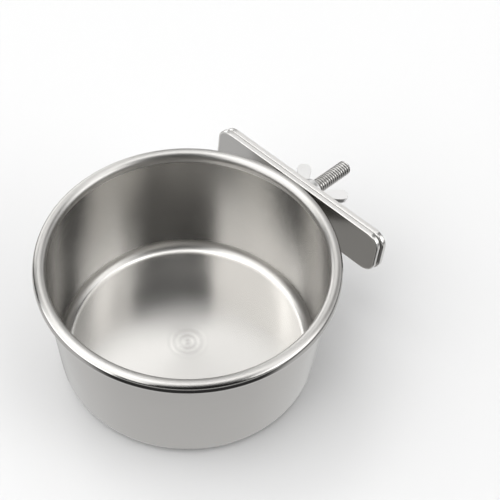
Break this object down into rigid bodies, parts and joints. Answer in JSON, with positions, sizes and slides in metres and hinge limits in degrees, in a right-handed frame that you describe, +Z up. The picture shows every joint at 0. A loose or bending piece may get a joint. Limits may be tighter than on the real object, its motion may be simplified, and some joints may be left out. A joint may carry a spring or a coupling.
{
  "type": "seed cup",
  "caption": "Round metal seed cup with a rolled rim and a bolt-on clamp: two flat strips and a wing nut grip cage wires behind it.",
  "frame": {"origin": "centre of the cup's underside", "axes": "+Z up out of the cup's mouth; +Y along the clamp bolt, away from the cup; +X along the clamp strips"},
  "size_m": [0.1206, 0.1519, 0.0575],
  "materials": {
    "cup_steel": "spun and polished stainless steel, bright on the rim, satin on the wall and floor",
    "plate_steel": "satin stainless strip with sheared long edges and polished round ends",
    "bolt_steel": "plain stainless thread",
    "weld_steel": "dull weld bead",
    "nut_steel": "tumbled bright stainless"
  },
  "bodies": {
    "holder": {"cup": "cup_steel", "front_plate": "plate_steel", "clamp_bolt": "bolt_steel", "head_welds": "weld_steel"},
    "rear_jaw": {"rear_plate": "plate_steel"},
    "nut": {"wing_nut": "nut_steel"}
  },
  "joints": [
    {"name": "rear_jaw_slide", "type": "slide", "parent": "holder", "child": "rear_jaw", "axis": [0, 0.9977, -0.068], "range_m": [-0.00015, 0.01778]},
    {"name": "wing_nut_turn", "type": "hinge", "parent": "rear_jaw", "child": "nut", "pos_m": [0.0025, 0.06444, 0.04523], "axis": [0, 0.9977, -0.068], "range_deg": [-43, 5041]}
  ],
  "couplings": [
    {"joint": "wing_nut_turn", "follows": "rear_jaw_slide", "rad_per_m": 4947.4}
  ]
}
